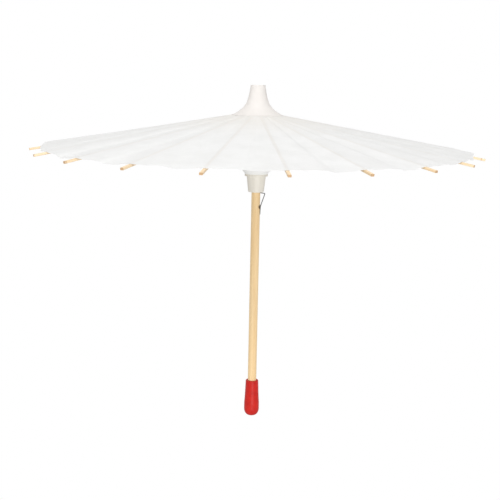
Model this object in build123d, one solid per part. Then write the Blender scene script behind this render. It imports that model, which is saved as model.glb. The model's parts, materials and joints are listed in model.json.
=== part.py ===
from build123d import *
import math
import os

# Oil paper umbrella, open. Millimetres, +Z up, origin under the middle of the handle cap.
# Twenty bamboo ribs hang from a crown at the top of a wooden shaft. Twenty stretchers join
# them to a runner that slides on the shaft, and paper gores cover the ribs.

# Ribs and stretchers
RIBS = 20
STEP = 360 / RIBS
RIB_SLOPE = 10.0  # degrees below level when open
PIVOT_R = 12.0  # radius of both pivot rings
CROWN_PIVOT_Z = 356.0
RIB_LENGTH = 245.7  # pivot to tip
LINK = 118.0  # pivot to pinned joint, along the rib and along the stretcher
RUNNER_PIVOT_Z = CROWN_PIVOT_Z - 2 * LINK * math.sin(math.radians(RIB_SLOPE))
STICK_HEIGHT = 2.4
RIB_WIDTH_IN = 2.9
RIB_WIDTH_OUT = 3.5
STRETCHER_WIDTH = 2.6
EDGE_ROUND = 0.35
BLADE_WIDTH = 1.6  # thinned end that enters a hub slot
BLADE_LENGTH = 8.0
SHOULDER_LENGTH = 4.0
RIB_SLOT_WIDTH = 1.5
RIB_SLOT_START = LINK - 9.5
RIB_SLOT_END = LINK + 19.5
TONGUE_WIDTH = 1.1  # stretcher end inside the rib's slot
TONGUE_LENGTH = 17.0

# Wires and pins
WIRE_R = 0.5
WIRE_HOLE_R = 0.6
TUNNEL_R = 0.55
PIN_R = 0.5
PIN_LENGTH = 3.1

# Shaft
SHAFT_R = 5.0
SHAFT_BOTTOM_Z = 6.0
SHAFT_TOP_Z = 384.0
SLOT_WIDTH = 1.4
SLOT_DEPTH_X = -2.8
SLOT_BOTTOM_Z = 238.2
SLOT_TOP_Z = 267.9

# Crown
CROWN_BORE_R = 5.05
CROWN_TOP_Z = 388.2
FLANGE_R = 16.5
FLANGE_BOTTOM_Z = 350.5
CROWN_SPIGOT_R = 8.2
CROWN_SPIGOT_Z = 345.0
HUB_SLOT_WIDTH = 1.8
HUB_SLOT_R = 10.4
SLOT_CEILING = 1.7  # hub slot past the pivot on its closed side

# Runner
RUNNER_BORE_R = 5.1
RUNNER_BOTTOM_Z = 267.2
RUNNER_TOP_Z = 321.0
RUNNER_HEAD_R = 18.0
RUNNER_FOOT_R = 9.1

# Paper
PAPER_THICK = 0.3
PAPER_GAP = 0.35
PAPER_IN_R = 18.0
PAPER_OUT_R = 241.0
PAPER_SAG = 2.6  # at the rim, midway between ribs
SEAM_HALF = 0.15
COLLAR_THICK = 0.5
COLLAR_GAP = 0.12

# Handle cap
CAP_TOP_Z = 43.1
CAP_BORE_R = 5.05
CAP_FLAT_R = 3.2  # flat under the rounded end
CAP_BAND_R = 8.8
CAP_BAND_LOW_Z = 8.0
CAP_BAND_HIGH_Z = 15.0

# Catch spring wire, in the plane of the shaft's axis
CATCH_PIVOT = (3.0, 239.5)

os.makedirs("parts", exist_ok=True)


def save(shape, name):
    shape.label = name
    export_step(shape, "parts/" + name + ".step")


def turned(points):
    """A solid of revolution about the shaft from an outline of (radius, height) points."""
    outline = make_face(Polyline(*[(r, 0, z) for r, z in points], close=True))
    return revolve(outline, Axis.Z, 360)


def section(along, width, height=STICK_HEIGHT):
    """Rounded cross section of a stick at a distance along +X."""
    return Plane.YZ.offset(along) * RectangleRounded(width, height, EDGE_ROUND)


def cross_hole(along, radius, length):
    """Cylinder across a stick, along Y."""
    return Pos(along, 0, 0) * Rot(90, 0, 0) * Cylinder(radius, length)


def stick_end(along, width):
    """Round end of a blade, turned about the blade's pivot."""
    return cross_hole(along, STICK_HEIGHT / 2, width)


def around(shape, index):
    """A shape made on +X, turned to the place of the stick of that index."""
    return Rot(0, 0, (index + 0.5) * STEP) * shape


def make_rib():
    shoulder = BLADE_LENGTH + SHOULDER_LENGTH
    bar = loft([section(shoulder, RIB_WIDTH_IN), section(RIB_LENGTH, RIB_WIDTH_OUT)])
    neck = loft([section(BLADE_LENGTH, BLADE_WIDTH), section(shoulder, RIB_WIDTH_IN)])
    blade = extrude(section(0, BLADE_WIDTH), BLADE_LENGTH)
    body = bar + neck + blade + stick_end(0, BLADE_WIDTH)
    body -= cross_hole(0, WIRE_HOLE_R, 2 * BLADE_WIDTH)
    slot_length = RIB_SLOT_END - RIB_SLOT_START
    slot_middle = (RIB_SLOT_END + RIB_SLOT_START) / 2
    slot = extrude(SlotOverall(slot_length, RIB_SLOT_WIDTH), 2 * STICK_HEIGHT, both=True)
    body -= Pos(slot_middle, 0, 0) * slot
    body -= cross_hole(LINK, PIN_R, 3 * STICK_HEIGHT)
    pin = cross_hole(LINK, PIN_R, PIN_LENGTH)
    return Compound([body.solid(), pin.solid()])


def make_stretcher():
    shoulder = BLADE_LENGTH + SHOULDER_LENGTH / 2
    tongue = LINK - TONGUE_LENGTH
    bar = extrude(section(shoulder, STRETCHER_WIDTH), tongue - 2 - shoulder)
    neck = loft([section(BLADE_LENGTH, BLADE_WIDTH), section(shoulder, STRETCHER_WIDTH)])
    blade = extrude(section(0, BLADE_WIDTH), BLADE_LENGTH)
    throat = loft([section(tongue - 2, STRETCHER_WIDTH), section(tongue, TONGUE_WIDTH)])
    thin = extrude(section(tongue, TONGUE_WIDTH), TONGUE_LENGTH)
    body = bar + neck + blade + throat + thin
    body += stick_end(0, BLADE_WIDTH)
    body += stick_end(LINK, TONGUE_WIDTH)
    body -= cross_hole(0, WIRE_HOLE_R, 2 * BLADE_WIDTH)
    body -= cross_hole(LINK, TUNNEL_R, 2 * BLADE_WIDTH)
    return body


def collar_points(inset):
    """Outline of the collar's outer face, moved inwards."""
    rows = [(8.3, 388.2), (8.75, 384.0), (9.7, 379.0), (11.0, 373.5), (13.3, 367.4)]
    rows += [(17.1, 362.4), (22.0, 358.8), (28.8, 355.75)]
    moved = []
    for i, (r, z) in enumerate(rows):
        before = rows[max(i - 1, 0)]
        after = rows[min(i + 1, len(rows) - 1)]
        run = after[0] - before[0]
        drop = before[1] - after[1]
        size = math.hypot(run, drop)
        moved.append((r - inset * drop / size, z - inset * run / size))
    moved[0] = (moved[0][0], CROWN_TOP_Z)
    return moved


def smooth_edge(points):
    return Spline(*[(r, 0, z) for r, z in points])


def make_collar():
    outer = collar_points(0)
    inner = collar_points(COLLAR_THICK)
    top = Line((outer[0][0], 0, outer[0][1]), (inner[0][0], 0, inner[0][1]))
    foot = Line((outer[-1][0], 0, outer[-1][1]), (inner[-1][0], 0, inner[-1][1]))
    outline = make_face([smooth_edge(outer), foot, smooth_edge(inner), top])
    return revolve(outline, Axis.Z, 360)


def hub_slots(low, high):
    """Radial slots for the thinned ends of the sticks."""
    reach = RUNNER_HEAD_R + 2 - HUB_SLOT_R
    cutter = Pos(HUB_SLOT_R + reach / 2, 0, (low + high) / 2)
    cutter = cutter * Box(reach, HUB_SLOT_WIDTH, high - low)
    return [around(cutter, i) for i in range(RIBS)]


def ring(pivot_z, radius):
    return Pos(0, 0, pivot_z) * Torus(PIVOT_R, radius)


def make_crown():
    neck = collar_points(COLLAR_THICK + COLLAR_GAP)[:6]
    low = neck[-1]
    edges = [smooth_edge(neck)]
    corners = [low, (FLANGE_R, low[1] - 0.6), (FLANGE_R, FLANGE_BOTTOM_Z)]
    corners += [(CROWN_SPIGOT_R, FLANGE_BOTTOM_Z), (CROWN_SPIGOT_R, CROWN_SPIGOT_Z)]
    corners += [(CROWN_BORE_R, CROWN_SPIGOT_Z), (CROWN_BORE_R, SHAFT_TOP_Z)]
    corners += [(0, SHAFT_TOP_Z), (0, CROWN_TOP_Z), neck[0]]
    for a, b in zip(corners, corners[1:]):
        edges.append(Line((a[0], 0, a[1]), (b[0], 0, b[1])))
    body = revolve(make_face(edges), Axis.Z, 360)
    body -= hub_slots(CROWN_SPIGOT_Z - 1, CROWN_PIVOT_Z + SLOT_CEILING)
    body -= ring(CROWN_PIVOT_Z, TUNNEL_R)
    return body


def make_runner():
    foot_round = 1.2
    points = [(RUNNER_BORE_R, RUNNER_BOTTOM_Z + 0.5), (RUNNER_BORE_R + 0.5, RUNNER_BOTTOM_Z)]
    for i in range(7):
        a = math.radians(15 * i)
        r = RUNNER_FOOT_R - foot_round + foot_round * math.sin(a)
        z = RUNNER_BOTTOM_Z + foot_round - foot_round * math.cos(a)
        points.append((r, z))
    points += [(10.9, 285.2), (12.9, 285.5), (13.3, 285.9), (13.3, 287.0), (13.0, 287.5)]
    points += [(13.2, 288.3), (14.3, 289.9), (16.2, 291.9), (17.5, 293.9)]
    points += [(RUNNER_HEAD_R, 296.5)]
    points += [(RUNNER_HEAD_R, RUNNER_TOP_Z - 0.8), (RUNNER_HEAD_R - 0.8, RUNNER_TOP_Z)]
    points += [(RUNNER_BORE_R + 0.5, RUNNER_TOP_Z), (RUNNER_BORE_R, RUNNER_TOP_Z - 0.5)]
    body = turned(points)
    body -= hub_slots(RUNNER_PIVOT_Z - SLOT_CEILING, RUNNER_TOP_Z + 1)
    body -= ring(RUNNER_PIVOT_Z, TUNNEL_R)
    return body


def make_shaft():
    length = SHAFT_TOP_Z - SHAFT_BOTTOM_Z
    body = Pos(0, 0, SHAFT_BOTTOM_Z + length / 2) * Cylinder(SHAFT_R, length)
    height = SLOT_TOP_Z - SLOT_BOTTOM_Z
    depth = SHAFT_R + 1 - SLOT_DEPTH_X
    middle = Pos(SLOT_DEPTH_X + depth / 2, 0, SLOT_BOTTOM_Z + height / 2)
    body -= middle * Box(depth, SLOT_WIDTH, height)
    x, z = CATCH_PIVOT
    body -= Pos(x, 1.6, z) * Rot(90, 0, 0) * Cylinder(TUNNEL_R, 2.2)
    return body


def make_catch():
    """Bent spring wire: top leg, slanted nose, tail in the slot and a foot across the shaft."""
    x, z = CATCH_PIVOT
    corners = [(4.4, 266.3), (10.5, 265.8), (5.35, 250.2), (5.1, 241.6), (x, z)]
    bends = [0.9, 2.5, 1.2]
    lines = []
    start = Vector(corners[0][0], 0, corners[0][1])
    for i, bend in enumerate(bends):
        before = Vector(corners[i][0], 0, corners[i][1])
        here = Vector(corners[i + 1][0], 0, corners[i + 1][1])
        after = Vector(corners[i + 2][0], 0, corners[i + 2][1])
        back = (before - here).normalized()
        on = (after - here).normalized()
        half = math.radians(back.get_angle(on)) / 2
        cut = bend / math.tan(half)
        first = here + back * cut
        last = here + on * cut
        middle = here + (back + on).normalized() * (bend / math.sin(half) - bend)
        lines.append(Line(start, first))
        lines.append(ThreePointArc(first, middle, last))
        start = last
    lines.append(Line(start, Vector(x, 0, z)))
    path = Wire([line.edge() for line in lines])
    profile = Plane(origin=path @ 0, z_dir=path % 0) * Circle(WIRE_R)
    body = sweep(profile, path=path)
    body += Pos(x, 0, z) * Sphere(WIRE_R)
    body += Pos(x, 1.2, z) * Rot(90, 0, 0) * Cylinder(WIRE_R, 2.4)
    return body


def make_cap():
    """Turned cap: rounded end, straight band, then a slow taper to the rim round the shaft."""
    middle = (CAP_FLAT_R, CAP_BAND_LOW_Z)
    end = EllipticalCenterArc(middle, CAP_BAND_R - CAP_FLAT_R, CAP_BAND_LOW_Z, 270, arc_size=90)
    taper = [(CAP_BAND_R, CAP_BAND_HIGH_Z), (8.5, 19.0), (8.2, 24.0), (7.9, 31.0), (7.65, 37.5)]
    taper.append((7.45, CAP_TOP_Z - 1.5))
    rim = [taper[-1], (7.2, CAP_TOP_Z - 0.5), (6.6, CAP_TOP_Z)]
    corners = [rim[-1], (CAP_BORE_R + 0.3, CAP_TOP_Z), (CAP_BORE_R, CAP_TOP_Z - 0.4)]
    corners += [(CAP_BORE_R, SHAFT_BOTTOM_Z), (0, SHAFT_BOTTOM_Z), (0, 0), (CAP_FLAT_R, 0)]
    edges = [Line((CAP_BAND_R, CAP_BAND_LOW_Z), (CAP_BAND_R, CAP_BAND_HIGH_Z))]
    edges += [Spline(*taper), ThreePointArc(*rim)]
    edges += [Line(p, q) for p, q in zip(corners, corners[1:])]
    return revolve(Plane.XZ * make_face([end] + edges), Axis.Z, 360)


def paper_height(r, low):
    """Height of the paper's underside over a rib, or in the fold between two ribs."""
    slope = math.tan(math.radians(RIB_SLOPE))
    clear = (STICK_HEIGHT / 2 + PAPER_GAP) / math.cos(math.radians(RIB_SLOPE))
    height = CROWN_PIVOT_Z + clear - (r - PIVOT_R) * slope
    if low:
        height -= PAPER_SAG * r / PAPER_OUT_R
    return height


def paper_point(r, angle, low, inset=0):
    """Point of the underside. inset moves it back from a seam towards the gore's middle."""
    reach = r * math.cos(math.radians(STEP / 2)) if low else r
    a = math.radians(angle)
    x = reach * math.cos(a) + inset * abs(math.sin(a))
    y = reach * math.sin(a) - inset * math.copysign(math.cos(a), a)
    half = math.radians(STEP / 2)
    fall = PAPER_SAG / PAPER_OUT_R / math.sin(half) / math.cos(half)
    fall += math.tan(math.radians(RIB_SLOPE)) * math.tan(half)
    return (x, y, paper_height(r, low) - inset * fall)


def paper_facet(rib_angle, fold_angle, inset):
    """One flat side of a pleat, between a rib and the fold next to it."""
    corners = [
        paper_point(PAPER_IN_R, rib_angle, False, inset),
        paper_point(PAPER_OUT_R, rib_angle, False, inset),
        paper_point(PAPER_OUT_R, fold_angle, True),
        paper_point(PAPER_IN_R, fold_angle, True),
    ]
    face = make_face(Polyline(*corners, close=True))
    return extrude(face, PAPER_THICK, dir=(0, 0, 1))


def make_gore():
    """Paper over one rib, out to the middle of the ribs on either side."""
    half = STEP / 2
    body = paper_facet(0, half, 0) + paper_facet(0, -half, 0)
    body += paper_facet(STEP, half, SEAM_HALF) + paper_facet(-STEP, -half, SEAM_HALF)
    return body


save(make_shaft(), "shaft")
save(make_crown(), "crown")
save(make_collar(), "paper_collar")
save(ring(CROWN_PIVOT_Z, WIRE_R), "crown_wire")
save(make_runner(), "runner")
save(ring(RUNNER_PIVOT_Z, WIRE_R), "runner_wire")
save(make_catch(), "catch_spring")
save(make_cap(), "handle_cap")

rib = Pos(PIVOT_R, 0, CROWN_PIVOT_Z) * Rot(0, RIB_SLOPE, 0) * make_rib()
stretcher = Pos(PIVOT_R, 0, RUNNER_PIVOT_Z) * Rot(0, -RIB_SLOPE, 0) * make_stretcher()
gore = make_gore()
for i in range(RIBS):
    number = f"{i + 1:02d}"
    save(around(rib, i), "rib_" + number)
    save(around(stretcher, i), "stretcher_" + number)
    if i % 2 == 0:
        save(around(gore, i), f"paper_gore_{i // 2 + 1:02d}")
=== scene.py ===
import json
import math
import random

import bmesh
import bpy
from mathutils import Matrix, Vector, noise


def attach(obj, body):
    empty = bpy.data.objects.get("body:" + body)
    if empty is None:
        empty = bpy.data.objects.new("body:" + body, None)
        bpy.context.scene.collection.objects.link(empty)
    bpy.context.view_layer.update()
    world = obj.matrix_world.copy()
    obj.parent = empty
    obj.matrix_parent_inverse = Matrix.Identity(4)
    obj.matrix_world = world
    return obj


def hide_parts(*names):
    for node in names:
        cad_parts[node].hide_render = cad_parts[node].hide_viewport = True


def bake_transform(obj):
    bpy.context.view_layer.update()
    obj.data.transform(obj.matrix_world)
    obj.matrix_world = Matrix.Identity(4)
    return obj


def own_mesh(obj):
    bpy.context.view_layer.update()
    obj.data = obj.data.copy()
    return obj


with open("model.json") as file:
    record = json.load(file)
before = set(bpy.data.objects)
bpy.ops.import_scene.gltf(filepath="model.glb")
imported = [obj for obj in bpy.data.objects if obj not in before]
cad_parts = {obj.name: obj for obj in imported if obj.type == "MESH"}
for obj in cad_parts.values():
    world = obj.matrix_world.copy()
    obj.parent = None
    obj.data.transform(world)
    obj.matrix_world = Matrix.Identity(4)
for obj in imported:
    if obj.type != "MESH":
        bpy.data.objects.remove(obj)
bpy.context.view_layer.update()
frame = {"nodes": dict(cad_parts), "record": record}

# Looks of a folding oil paper umbrella: a canopy and a collar of thin paper sheets, and
# materials for the wood, bamboo, wire and plastic pieces of the CAD frame.

MM = 0.001

# Layout, read from the record
RECORD = frame["record"]
JOINTS = {j["name"]: j for j in RECORD["behaviour"]["joints"]}
RIBS = sum(name.startswith("rib_") for name in RECORD["behaviour"]["bodies"])
STEP = 2 * math.pi / RIBS
HALF = STEP / 2
CROWN_PIVOT = JOINTS["rib_01_fold"]["pos_m"]
PIVOT_R = math.hypot(CROWN_PIVOT[0], CROWN_PIVOT[1])
PIVOT_Z = CROWN_PIVOT[2]
PIN = JOINTS["stretcher_01_pivot"]["pos_m"]
PIN_R = math.hypot(PIN[0], PIN[1])
SLOPE = (PIVOT_Z - PIN[2]) / (PIN_R - PIVOT_R)

# Places on the CAD pieces that their colours follow
TUBE_TOP = 288.2 * MM  # where the runner's cream tube meets its head, which is painted whiter, partly as painted light on its flare
SLOT_HALF = 0.7 * MM  # half width of the catch's slot in the shaft
BEND_Z = 250.3 * MM  # where the catch's wire goes into the shaft

# Canopy
PAPER_THICK = 0.2 * MM
RIB_TOP = 1.2 * MM  # half the height of a rib
PAPER_LIFT = 0.2 * MM  # paper's underside above the ribs
PAPER_IN = 18.2 * MM
PAPER_OUT = 241 * MM
SAG = 2.2 * MM  # most that the paper hangs between two ribs, at the rim
STRIP = PIVOT_R * math.tan(HALF)  # half width of the paper that stays flat on a rib
ROWS = 44  # rows of faces from the crown to the rim
STRIP_COLUMNS = 4
SIDE_COLUMNS = 12
UV_WIDE = 100 * MM  # what the paper's UV unit covers, across a rib and along it
UV_LONG = 300 * MM
DROPS = random.Random(12458)
GAP_DROP = [DROPS.uniform(0.45, 1.15) for gap in range(RIBS)]
# How far the paper billows up and reaches out, in millimetres, in the gaps at -X and +X
BILLOW = {RIBS // 2 - 1: (1.8, 1.0), RIBS - 1: (1.6, 3.0)}

# Collar, in millimetres
COLLAR = [(8.3, 388.2), (8.75, 384.0), (9.7, 379.0), (11.0, 373.5), (13.3, 367.4),
          (17.1, 362.4), (22.0, 358.5), (26.0, 356.05), (29.6, 354.62)]  # radius and height
SPAN_STEPS = 6  # steps of the smooth outline between two of those points
PETALS_FROM = 14.2  # radius where the neck ends and the petals begin
NECK_THICK = 0.45
PETAL_THICK = 0.08
PETAL_WAVE = 0.03
WAVE_FROM = 14.0  # radius where that wave starts
NECK_COLUMNS = 160
PETAL_COLUMNS = 12

SHARP = math.radians(50)  # edges that bend more than this stay sharp


# ---------------------------------------------------------------- materials


def material(name):
    mat = bpy.data.materials.new(name)
    mat.use_nodes = True
    tree = mat.node_tree
    return mat, tree, tree.nodes["Principled BSDF"]


def node(tree, kind, **values):
    made = tree.nodes.new(kind)
    for key, value in values.items():
        if key.startswith("in_"):
            made.inputs[key[3:].replace("_", " ")].default_value = value
        else:
            setattr(made, key, value)
    return made


def maths(tree, operation, *values):
    made = tree.nodes.new("ShaderNodeMath")
    made.operation = operation
    for slot, value in zip(made.inputs, values):
        if isinstance(value, (int, float)):
            slot.default_value = value
        else:
            tree.links.new(value, slot)
    return made.outputs[0]


def scaled(tree, value, factor):
    return maths(tree, "MULTIPLY", value, factor)


def rest_of(tree, share):
    """What a share leaves of 1."""
    return maths(tree, "SUBTRACT", 1.0, share)


def length_of(tree, a, b):
    """Length of the vector with the parts a and b."""
    squares = maths(tree, "MULTIPLY", a, a), maths(tree, "MULTIPLY", b, b)
    return maths(tree, "SQRT", maths(tree, "ADD", *squares))


def blend_colour(tree, share, a, b):
    made = tree.nodes.new("ShaderNodeMix")
    made.data_type = "RGBA"
    for slot, value in zip((made.inputs[0], made.inputs[6], made.inputs[7]), (share, a, b)):
        if isinstance(value, (int, float)):
            slot.default_value = value
        elif isinstance(value, tuple):
            slot.default_value = (*value, 1)
        else:
            tree.links.new(value, slot)
    return made.outputs[2]


def step_between(tree, value, low, high):
    """0 below low, 1 above high, smooth in between."""
    made = tree.nodes.new("ShaderNodeMapRange")
    made.interpolation_type = "SMOOTHSTEP"
    made.inputs["From Min"].default_value = low
    made.inputs["From Max"].default_value = high
    tree.links.new(value, made.inputs["Value"])
    return made.outputs[0]


def object_place(tree, scale=(1, 1, 1)):
    place = tree.nodes.new("ShaderNodeTexCoord").outputs["Object"]
    mapping = node(tree, "ShaderNodeMapping", in_Scale=scale)
    tree.links.new(place, mapping.inputs[0])
    return mapping.outputs[0]


def object_axes(tree):
    """x, y and z in the object's frame."""
    split = node(tree, "ShaderNodeSeparateXYZ")
    tree.links.new(object_place(tree), split.inputs[0])
    return split.outputs[0], split.outputs[1], split.outputs[2]


def noise_of(tree, vector, scale, detail=4.0, rough=0.55):
    made = node(tree, "ShaderNodeTexNoise", in_Scale=scale, in_Detail=detail, in_Roughness=rough)
    tree.links.new(vector, made.inputs["Vector"])
    return made.outputs["Fac"]


def bump(tree, shader, height, strength, distance):
    made = node(tree, "ShaderNodeBump", in_Strength=strength, in_Distance=distance)
    tree.links.new(height, made.inputs["Height"])
    tree.links.new(made.outputs[0], shader.inputs["Normal"])
    return made.outputs[0]


def finish_of(shader, roughness, specular):
    shader.inputs["Roughness"].default_value = roughness
    shader.inputs["Specular IOR Level"].default_value = specular


def hole_shade_mask(tree, cloud):
    """1 where shade is painted: a ragged dark spot where the catch's wire goes into its hole, and the
    slot's lips below.
    """
    x, y, z = object_axes(tree)
    ragged = scaled(tree, maths(tree, "SUBTRACT", cloud, 0.5), 3 * MM)
    off = maths(tree, "ADD", maths(tree, "ABSOLUTE", y), ragged)
    up = scaled(tree, maths(tree, "SUBTRACT", z, BEND_Z), 1.3)
    spot = rest_of(tree, step_between(tree, length_of(tree, off, up), 3.2 * MM, 4.4 * MM))
    lip = rest_of(tree, step_between(tree, off, SLOT_HALF, SLOT_HALF + 1.6 * MM))
    above_end = step_between(tree, z, BEND_Z - 11 * MM, BEND_Z - 8 * MM)
    below_hole = rest_of(tree, step_between(tree, z, BEND_Z, BEND_Z + 3 * MM))
    stretch = maths(tree, "MULTIPLY", above_end, below_hole)
    lip = maths(tree, "MULTIPLY", scaled(tree, lip, 0.8), stretch)
    on_slot_side = step_between(tree, x, 0.0, 2 * MM)
    return maths(tree, "MULTIPLY", maths(tree, "MAXIMUM", spot, lip), on_slot_side)


def turned_wood():
    """Pale dowel with straight grain along the shaft, with painted shade at the catch's hole and
    slot.
    """
    mat, tree, shader = material("shaft_wood")
    fine = noise_of(tree, object_place(tree, (1, 1, 0.02)), 1600, 5, 0.6)
    broad = noise_of(tree, object_place(tree, (1, 1, 0.035)), 260, 3, 0.5)
    pores = noise_of(tree, object_place(tree, (1, 1, 0.05)), 3800, 2, 0.5)
    grain = maths(tree, "ADD", scaled(tree, fine, 0.45), scaled(tree, broad, 0.55))
    pale, deep = (0.86, 0.65, 0.38), (0.77, 0.545, 0.285)
    colour = blend_colour(tree, step_between(tree, grain, 0.35, 0.66), pale, deep)
    pore = scaled(tree, step_between(tree, pores, 0.62, 0.75), 0.22)
    colour = blend_colour(tree, pore, colour, (0.42, 0.25, 0.11))
    # painted shade of the catch's hole and slot: dark brown on the wood around the hole and along the
    # slot's lips
    hole_shade = scaled(tree, hole_shade_mask(tree, broad), 0.92)
    colour = blend_colour(tree, hole_shade, colour, (0.075, 0.045, 0.028))
    tree.links.new(colour, shader.inputs["Base Color"])
    finish_of(shader, 0.6, 0.18)
    bump(tree, shader, grain, 0.25, 0.2 * MM)
    return mat


def split_bamboo(tip_r):
    """Bamboo with its fibres along each stick, darker rings and a brown cut end."""
    mat, tree, shader = material("bamboo")
    x, y, z = object_axes(tree)
    r = length_of(tree, x, y)
    angle = maths(tree, "ARCTAN2", y, x)
    inside = maths(tree, "SUBTRACT", maths(tree, "WRAP", angle, STEP, 0.0), HALF)
    which = maths(tree, "FLOOR", maths(tree, "DIVIDE", angle, STEP))

    # the stick's own frame, drawn out along it, with another stretch of bamboo for each stick
    along = maths(tree, "ADD", scaled(tree, r, 0.03), scaled(tree, which, 0.37))
    across = maths(tree, "MULTIPLY", r, inside)
    above = maths(tree, "ADD", z, scaled(tree, r, SLOPE))
    stick = node(tree, "ShaderNodeCombineXYZ")
    for value, slot in zip((along, across, above), stick.inputs):
        tree.links.new(value, slot)
    fine = noise_of(tree, stick.outputs[0], 2600, 4, 0.6)
    broad = noise_of(tree, stick.outputs[0], 420, 3, 0.5)
    pale, deep = (0.82, 0.66, 0.45), (0.71, 0.53, 0.325)
    colour = blend_colour(tree, step_between(tree, broad, 0.3, 0.7), pale, deep)
    fibre = scaled(tree, step_between(tree, fine, 0.5, 0.72), 0.35)
    colour = blend_colour(tree, fibre, colour, (0.55, 0.33, 0.15))

    # a ring every 93 mm, at another place on each stick
    place = maths(tree, "ADD", r, scaled(tree, which, 13.7 * MM))
    place = maths(tree, "WRAP", place, 93 * MM, 0.0)
    off = maths(tree, "ABSOLUTE", maths(tree, "SUBTRACT", place, 50 * MM))
    ring = rest_of(tree, step_between(tree, off, 0.3 * MM, 1.2 * MM))
    colour = blend_colour(tree, scaled(tree, ring, 0.45), colour, (0.38, 0.21, 0.09))

    reach = maths(tree, "DIVIDE", r, maths(tree, "COSINE", inside))
    cut = step_between(tree, reach, tip_r - 0.6 * MM, tip_r - 0.35 * MM)
    colour = blend_colour(tree, scaled(tree, cut, 0.7), colour, (0.42, 0.23, 0.10))
    tree.links.new(colour, shader.inputs["Base Color"])
    finish_of(shader, 0.5, 0.4)
    bump(tree, shader, fine, 0.3, 0.15 * MM)
    return mat


def moulded_plastic():
    """Satin plastic of the hubs, cream with faint flow marks, and white above the runner's tube,
    partly painted light on the runner's flared head.
    """
    mat, tree, shader = material("hub_plastic")
    flow = noise_of(tree, object_place(tree, (1, 1, 0.35)), 160, 3, 0.5)
    grit = noise_of(tree, object_place(tree), 2400, 2, 0.5)
    pale, deep = (0.78, 0.745, 0.67), (0.74, 0.705, 0.625)
    cream = blend_colour(tree, step_between(tree, flow, 0.3, 0.7), pale, deep)
    z = object_axes(tree)[2]
    # whiter above TUBE_TOP: partly the head's own paler colour, partly painted light on the runner's
    # flared head
    head = step_between(tree, z, TUBE_TOP - 0.4 * MM, TUBE_TOP + 0.4 * MM)
    colour = blend_colour(tree, head, cream, (0.84, 0.84, 0.82))
    tree.links.new(colour, shader.inputs["Base Color"])
    finish_of(shader, 0.42, 0.45)
    bump(tree, shader, grit, 0.12, 0.1 * MM)
    return mat


def red_plastic():
    """Glossy red of the handle cap, with a slight orange-peel surface."""
    mat, tree, shader = material("red_cap")
    cloud = noise_of(tree, object_place(tree), 120, 3, 0.5)
    peel = noise_of(tree, object_place(tree), 900, 2, 0.5)
    bright, deep = (0.56, 0.022, 0.015), (0.47, 0.016, 0.012)
    colour = blend_colour(tree, step_between(tree, cloud, 0.3, 0.7), bright, deep)
    tree.links.new(colour, shader.inputs["Base Color"])
    finish_of(shader, 0.34, 0.12)
    shader.inputs["Coat Weight"].default_value = 0.08
    shader.inputs["Coat Roughness"].default_value = 0.3
    bump(tree, shader, peel, 0.015, 0.2 * MM)
    return mat


def dark_wire():
    """Drawn steel wire, rusty where the catch goes into the wood."""
    mat, tree, shader = material("wire")
    drawn = noise_of(tree, object_place(tree, (1, 1, 0.2)), 2200, 3, 0.6)
    pale, deep = (0.20, 0.205, 0.21), (0.12, 0.115, 0.11)
    colour = blend_colour(tree, step_between(tree, drawn, 0.35, 0.65), pale, deep)
    z = object_axes(tree)[2]
    off = maths(tree, "ABSOLUTE", maths(tree, "SUBTRACT", z, BEND_Z))
    rust = rest_of(tree, step_between(tree, off, 1.6 * MM, 3.2 * MM))
    colour = blend_colour(tree, rust, colour, (0.06, 0.038, 0.024))
    tree.links.new(colour, shader.inputs["Base Color"])
    shader.inputs["Metallic"].default_value = 0.85
    shader.inputs["Roughness"].default_value = 0.38
    bump(tree, shader, drawn, 0.15, 0.05 * MM)
    return mat


def fibre_mask(tree, place, cloud):
    """1 on the long fibres, which wander and show only in the denser clouds."""
    swirl = node(tree, "ShaderNodeTexNoise", in_Scale=38, in_Detail=3)
    tree.links.new(place, swirl.inputs["Vector"])
    warp = node(tree, "ShaderNodeVectorMath", operation="MULTIPLY_ADD")
    warp.inputs[1].default_value = (30 * MM, 30 * MM, 30 * MM)
    tree.links.new(swirl.outputs["Color"], warp.inputs[0])
    tree.links.new(place, warp.inputs[2])
    strand = node(tree, "ShaderNodeTexVoronoi", feature="DISTANCE_TO_EDGE", in_Scale=95)
    tree.links.new(warp.outputs[0], strand.inputs["Vector"])
    fibre = rest_of(tree, step_between(tree, strand.outputs["Distance"], 0.004, 0.03))
    return maths(tree, "MULTIPLY", fibre, step_between(tree, cloud, 0.45, 0.6))


def let_light_through(tree, shader, colour, normal, share):
    """Mixes a share of translucence into the surface."""
    through = node(tree, "ShaderNodeBsdfTranslucent")
    tree.links.new(colour, through.inputs["Color"])
    tree.links.new(normal, through.inputs["Normal"])
    mixed = node(tree, "ShaderNodeMixShader")
    mixed.inputs[0].default_value = share
    tree.links.new(shader.outputs[0], mixed.inputs[1])
    tree.links.new(through.outputs[0], mixed.inputs[2])
    tree.links.new(mixed.outputs[0], tree.nodes["Material Output"].inputs["Surface"])


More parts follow.
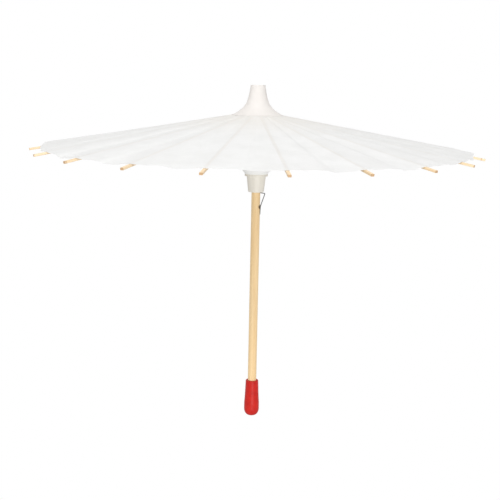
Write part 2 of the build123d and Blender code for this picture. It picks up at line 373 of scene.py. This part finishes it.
def oiled_paper(name, white, cream, cream_near, gloss, see_through):
    """Paper with clouds and long fibres, a faint beige line over each rib as painted shade of the rib
    showing through, and cream near the crown.
    """
    mat, tree, shader = material(name)
    place = object_place(tree)
    cloud = noise_of(tree, place, 45, 4, 0.6)
    pulp = noise_of(tree, place, 700, 4, 0.65)
    fibre = fibre_mask(tree, place, cloud)
    colour = blend_colour(tree, step_between(tree, cloud, 0.3, 0.7), white, cream)
    colour = blend_colour(tree, scaled(tree, fibre, 0.06), colour, (0.78, 0.77, 0.73))
    split = node(tree, "ShaderNodeSeparateXYZ")
    tree.links.new(node(tree, "ShaderNodeUVMap", uv_map="paper").outputs[0], split.inputs[0])
    across, along = split.outputs[0], split.outputs[1]
    side = maths(tree, "ABSOLUTE", maths(tree, "SUBTRACT", across, 0.5))
    # painted shade: the rib under the paper, seen through it as a faint beige line
    rib_shade_through = rest_of(tree, step_between(tree, side, 0.012, 0.020))
    colour = blend_colour(tree, scaled(tree, rib_shade_through, 0.08), colour, (0.80, 0.66, 0.48))
    near = rest_of(tree, step_between(tree, along, 0.06, 0.42))
    colour = blend_colour(tree, scaled(tree, near, 0.5), colour, cream_near)
    tree.links.new(colour, shader.inputs["Base Color"])
    finish_of(shader, gloss, 0.3)
    height = maths(tree, "ADD", scaled(tree, pulp, 0.7), scaled(tree, fibre, 0.5))
    normal = bump(tree, shader, height, 0.18, 0.2 * MM)
    let_light_through(tree, shader, colour, normal, see_through)
    return mat


# ---------------------------------------------------------------- meshes


def direction(angle):
    return Vector((math.cos(angle), math.sin(angle), 0))


def finished(name, mesh, mat):
    """Turns a closed bmesh into a smooth-shaded object whose creases stay sharp."""
    bmesh.ops.recalc_face_normals(mesh, faces=mesh.faces)
    for face in mesh.faces:
        face.smooth = True
    for edge in mesh.edges:
        if len(edge.link_faces) == 2 and edge.calc_face_angle(0) > SHARP:
            edge.smooth = False
    data = bpy.data.meshes.new(name)
    mesh.to_mesh(data)
    mesh.free()
    made = bpy.data.objects.new(name, data)
    bpy.context.collection.objects.link(made)
    data.materials.append(mat)
    return made


def thin_sheet(name, rows, uvs, thick, mat):
    """A closed sheet from a grid of underside points, thickened upwards."""
    count_u, count_v = len(rows), len(rows[0])
    mesh = bmesh.new()
    layer = mesh.loops.layers.uv.new("paper")
    low = [[mesh.verts.new(p) for p in row] for row in rows]
    high = [[mesh.verts.new(p + Vector((0, 0, thick))) for p in row] for row in rows]
    place = {}
    for side in (low, high):
        for verts, row in zip(side, uvs):
            place.update(zip(verts, row))
    faces = []
    for i in range(count_u - 1):
        for j in range(count_v - 1):
            corners = [(i, j), (i + 1, j), (i + 1, j + 1), (i, j + 1)]
            faces.append([high[p][q] for p, q in corners])
            faces.append([low[p][q] for p, q in reversed(corners)])
    rim = [(i, 0) for i in range(count_u)]
    rim += [(count_u - 1, j) for j in range(1, count_v)]
    rim += [(i, count_v - 1) for i in range(count_u - 2, -1, -1)]
    rim += [(0, j) for j in range(count_v - 2, 0, -1)]
    for (p, q), (r, s) in zip(rim, rim[1:] + rim[:1]):
        faces.append([low[p][q], low[r][s], high[r][s], high[p][q]])
    for corners in faces:
        face = mesh.faces.new(corners)
        for loop in face.loops:
            loop[layer].uv = place[loop.vert]
    return finished(name, mesh, mat)


def smooth(value):
    """Smooth step from 0 to 1."""
    value = min(max(value, 0.0), 1.0)
    return value * value * (3 - 2 * value)


def fall(side, part):
    """Share of a gap's drop, from a rib (0) to the fold (1).

    The paper stays up on the near side of a fold and hangs lowest just past it."""
    if side > 0:
        return 0.12 * math.sin(math.pi * part) + smooth((part - 0.62) / 0.76)
    level_off = math.sin(math.pi / 2 * min(1, part / 0.8))
    return 0.5 * (1 + smooth((1 - part) / 0.2)) * level_off


def gap_beside(index, side):
    """The gap on one side of a rib, numbered by the rib before it."""
    return index if side > 0 else (index - 1) % RIBS


def billow(gap):
    """How far a gap's paper billows up and reaches out, in millimetres."""
    return BILLOW.get(gap, (0, 0))


def ripple(x, y, r):
    """Slight cockling of the paper, stronger near the rim."""
    broad = noise.noise(Vector((x * 42, y * 42, 3.1)))
    fine = noise.noise(Vector((x * 120, y * 120, 8.7)))
    return (0.45 * broad + 0.2 * fine) * MM * (r / PAPER_OUT) ** 1.5


def paper_z(index, side, along, part):
    """Height of the underside at a distance along a rib, part way to the next fold."""
    level = PIVOT_Z + (RIB_TOP + PAPER_LIFT) * math.hypot(1, SLOPE) - (along - PIVOT_R) * SLOPE
    if side == 0:
        return level
    gap = gap_beside(index, side)
    out = along / PAPER_OUT
    up = billow(gap)[0] * MM * part * (2 - part) * out ** 3
    return level - SAG * GAP_DROP[gap] * out * fall(side, part) + up


def rim_reach(index, side, part):
    """Radius of the paper's cut rim, which steps out just past each fold."""
    gap = gap_beside(index, side)
    step = 1.3 * GAP_DROP[gap] * fall(side, part)
    jitter = noise.noise(Vector((gap * 3.7, side * 1.9 + 5.0, part * 2.4)))
    wave = 0.35 * math.sin(math.pi * part) * jitter
    return PAPER_OUT + (step + wave + billow(gap)[1] * smooth(part)) * MM


def strip_point(share, j):
    """Distances along and across a rib of a point of the strip that is glued to it."""
    across = STRIP * (2 * j / STRIP_COLUMNS - 1)
    end = math.sqrt(PAPER_OUT * PAPER_OUT - across * across)
    return PAPER_IN + (end - PAPER_IN) * share, across


def side_point(index, side, share, part):
    """The same for a point of one side, which goes from the strip to the fold."""
    reach = rim_reach(index, side, part)
    wide = STRIP + (reach * math.sin(HALF) - STRIP) * part
    end = math.sqrt(reach * reach - wide * wide)
    along = PAPER_IN + (end - PAPER_IN) * share
    fold = along * math.tan(HALF)
    return along, side * (STRIP + (fold - STRIP) * part)


def paper_rows(index, side, columns):
    """Grid of points over one rib: the strip on the rib (side 0) or one side of it."""
    angle = (index + 0.5) * STEP
    out, left = direction(angle), direction(angle + math.pi / 2)
    rows, uvs = [], []
    for i in range(ROWS + 1):
        row, uv = [], []
        for j in range(columns + 1):
            part = j / columns if side else 0.0
            if side:
                along, across = side_point(index, side, i / ROWS, part)
            else:
                along, across = strip_point(i / ROWS, j)
            p = out * along + left * across
            z = paper_z(index, side, along, part)
            if side:
                z += ripple(p.x, p.y, math.hypot(along, across)) * min(1.0, 3 * part)
            row.append(Vector((p.x, p.y, z)))
            uv.append((0.5 + across / UV_WIDE, along / UV_LONG))
        rows.append(row)
        uvs.append(uv)
    return rows, uvs


def make_canopy(mat):
    """One pleated sheet over all ribs: a strip on each rib and a side out to each fold."""
    kinds = ((0, "strip", STRIP_COLUMNS), (1, "left", SIDE_COLUMNS), (-1, "right", SIDE_COLUMNS))
    for index in range(RIBS):
        number = f"{index + 1:02d}"
        body = "rib_" + number
        for side, word, columns in kinds:
            rows, uvs = paper_rows(index, side, columns)
            made = thin_sheet(f"canopy_{word}_{number}", rows, uvs, PAPER_THICK, mat)
            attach(made, body)
            if side:
                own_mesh(made)
            elif index % 2 == 0:
                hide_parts(f"paper_gore_{index // 2 + 1:02d}")


def smooth_line(points, steps):
    """Catmull-Rom curve through points, with even steps in each span."""
    before = tuple(2 * a - b for a, b in zip(points[0], points[1]))
    after = tuple(2 * a - b for a, b in zip(points[-1], points[-2]))
    all_points = [before, *points, after]
    line = []
    for spans in zip(all_points, all_points[1:], all_points[2:], all_points[3:]):
        for k in range(steps):
            u = k / steps
            line.append(tuple(
                0.5 * (2 * q + (r - p) * u + (2 * p - 5 * q + 4 * r - s) * u * u
                       + (3 * q - p - 3 * r + s) * u ** 3)
                for p, q, r, s in zip(*spans)))
    line.append(tuple(points[-1]))
    return line


def collar_grid(line, angles, wave):
    """Points of the collar at some angles, with its foot a little higher over each rib."""
    rows = []
    for r, z in line:
        row = []
        for a in angles:
            swell = wave * max(0.0, (r - WAVE_FROM) / WAVE_FROM) * math.cos(a / HALF * math.pi)
            row.append(Vector((r * math.cos(a) * MM, r * math.sin(a) * MM, (z - swell) * MM)))
        rows.append(row)
    return rows


def shell(name, rows, thick, mat, closed):
    """Closed thin shell below a grid of points; closed joins the last column to the first."""
    count, wide = len(rows), len(rows[0])
    inner = []
    for i, row in enumerate(rows):
        before, after = rows[max(i - 1, 0)], rows[min(i + 1, count - 1)]
        line = []
        for j, p in enumerate(row):
            out = Vector((p.x, p.y, 0)).normalized()
            step = after[j] - before[j]
            run = Vector((step.dot(out), step.z)).normalized()
            line.append(p + (out * run.y + Vector((0, 0, -run.x))) * thick)
        inner.append(line)
    mesh = bmesh.new()
    top = [[mesh.verts.new(p) for p in row] for row in rows]
    low = [[mesh.verts.new(p) for p in row] for row in inner]
    columns = [(j, (j + 1) % wide) for j in range(wide if closed else wide - 1)]
    for i in range(count - 1):
        for j, k in columns:
            mesh.faces.new((top[i][j], top[i + 1][j], top[i + 1][k], top[i][k]))
            mesh.faces.new((low[i][k], low[i + 1][k], low[i + 1][j], low[i][j]))
    for j, k in columns:
        mesh.faces.new((top[0][k], low[0][k], low[0][j], top[0][j]))
        mesh.faces.new((top[-1][j], low[-1][j], low[-1][k], top[-1][k]))
    if not closed:
        for i in range(count - 1):
            mesh.faces.new((top[i][0], low[i][0], low[i + 1][0], top[i + 1][0]))
            mesh.faces.new((top[i + 1][-1], low[i + 1][-1], low[i][-1], top[i][-1]))
    return finished(name, mesh, mat)


def make_neck(line, mat):
    """Upper part of the collar, which stays on the crown."""
    turn = [2 * math.pi * k / NECK_COLUMNS for k in range(NECK_COLUMNS)]
    rows = collar_grid(line, turn, 0.0)
    neck = shell("collar_neck", rows, NECK_THICK * MM, mat, True)
    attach(neck, "shaft")
    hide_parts("paper_collar")


def make_petals(line, mat):
    """Lower part of the collar, one petal over each rib."""
    for index in range(RIBS):
        middle = (index + 0.5) * STEP
        angles = [middle + HALF * (2 * k / PETAL_COLUMNS - 1) for k in range(PETAL_COLUMNS + 1)]
        rows = collar_grid(line, angles, PETAL_WAVE)
        petal = shell(f"collar_petal_{index + 1:02d}", rows, PETAL_THICK * MM, mat, False)
        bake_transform(petal)


def make_collar(mat):
    line = smooth_line(COLLAR, SPAN_STEPS)
    split = next(i for i, (r, z) in enumerate(line) if r > PETALS_FROM)
    make_neck(line[: split + 1], mat)
    make_petals(line[split:], mat)


def rib_tip_radius():
    """Distance of a rib's cut end from the shaft's axis."""
    out = direction(HALF)
    return max(v.co.dot(out) for v in frame["nodes"]["rib_01"].data.vertices)


def paint_cad():
    """Gives each CAD node that stays in view its material."""
    bamboo = split_bamboo(rib_tip_radius())
    wood, hub, red, wire = turned_wood(), moulded_plastic(), red_plastic(), dark_wire()
    looks = {"shaft": wood, "crown": hub, "runner": hub, "handle_cap": red,
             "crown_wire": wire, "runner_wire": wire, "catch_spring": wire}
    for name, obj in frame["nodes"].items():
        look = bamboo if name.startswith(("rib_", "stretcher_")) else looks.get(name)
        if look:
            for slot in obj.material_slots:
                slot.material = look


paint_cad()
make_canopy(oiled_paper(
    "oil_paper", white=(0.86, 0.86, 0.855), cream=(0.83, 0.83, 0.822), cream_near=(0.85, 0.82, 0.77),
    gloss=0.5, see_through=0.25))
make_collar(oiled_paper(
    "collar_paper", white=(0.805, 0.775, 0.745), cream=(0.785, 0.755, 0.725),
    cream_near=(0.795, 0.765, 0.735), gloss=0.75, see_through=0.18))


# ---------------------------------------------------------------- floor, light, camera


FLOOR_Z = -2.5  # far below, as the umbrella hangs free
FLOOR_HALF = 40  # half of the floor's side
FLOOR_LIGHT = 0.7  # light that comes up from the floor
AMBIENT = 0.8  # strength of the even studio light
LAMPS = {"key": ((-0.25, -2.0, 2.7), 56), "fill": ((0.6, -2.6, -0.2), 30)}  # place and watts
LAMP_SIZE = 1.6
LAMP_AIM = Vector((0, 0, 0.25))

CAMERA_FAR = 1.1471  # level distance from the shaft's axis
CAMERA_UP = 0.40996  # height above the handle's end
AZIMUTH = math.radians(2.257)
PITCH = math.radians(10.444)
ROLL = math.radians(1.2)
SENSOR = 36  # millimetres, as is the lens
LENS = 72.4824
SHIFT_X = -0.0094
SHIFT_Y = 0.0016


def white_to_the_eye(tree, kind, light, output):
    """White where it is looked at, and a softer white as a light."""
    shown = node(tree, kind, in_Color=(1, 1, 1, 1), in_Strength=1.0)
    cast = node(tree, kind, in_Color=(1, 1, 1, 1), in_Strength=light)
    mixed = node(tree, "ShaderNodeMixShader")
    looked_at = node(tree, "ShaderNodeLightPath").outputs["Is Camera Ray"]
    for source, target in zip((looked_at, cast.outputs[0], shown.outputs[0]), mixed.inputs):
        tree.links.new(source, target)
    tree.links.new(mixed.outputs[0], tree.nodes[output].inputs["Surface"])


def make_floor():
    mat, tree, shader = material("studio_floor")
    tree.nodes.remove(shader)
    white_to_the_eye(tree, "ShaderNodeEmission", FLOOR_LIGHT, "Material Output")
    mesh = bpy.data.meshes.new("studio_floor")
    ends = (-FLOOR_HALF, FLOOR_HALF)
    mesh.from_pydata([(x, y, FLOOR_Z) for y in ends for x in ends], [], [(0, 1, 3, 2)])
    floor = bpy.data.objects.new("studio_floor", mesh)
    bpy.context.collection.objects.link(floor)
    mesh.materials.append(mat)


def make_light():
    world = bpy.data.worlds.new("studio")
    bpy.context.scene.world = world
    world.use_nodes = True
    white_to_the_eye(world.node_tree, "ShaderNodeBackground", AMBIENT, "World Output")
    for name, (place, power) in LAMPS.items():
        lamp = bpy.data.lights.new(name, "AREA")
        lamp.size = LAMP_SIZE
        lamp.energy = power
        obj = bpy.data.objects.new(name, lamp)
        bpy.context.collection.objects.link(obj)
        obj.location = place
        aim = LAMP_AIM - Vector(place)
        obj.rotation_euler = aim.to_track_quat("-Z", "Y").to_euler()
    view = bpy.context.scene.view_settings
    view.view_transform = "Standard"
    view.look = "None"


def make_camera():
    """View from a little above the crown's height, turned slightly round the shaft."""
    camera = bpy.data.objects.new("camera", bpy.data.cameras.new("camera"))
    bpy.context.collection.objects.link(camera)
    camera.data.sensor_width = SENSOR
    camera.data.lens = LENS
    camera.data.shift_x = SHIFT_X
    camera.data.shift_y = SHIFT_Y
    camera.location = (CAMERA_FAR * math.sin(AZIMUTH), -CAMERA_FAR * math.cos(AZIMUTH), CAMERA_UP)
    turn = Matrix.Rotation(AZIMUTH, 4, "Z") @ Matrix.Rotation(math.pi / 2 - PITCH, 4, "X")
    camera.rotation_euler = (turn @ Matrix.Rotation(ROLL, 4, "Z")).to_euler()
    bpy.context.scene.camera = camera


make_floor()
make_light()
make_camera()

bpy.context.view_layer.update()
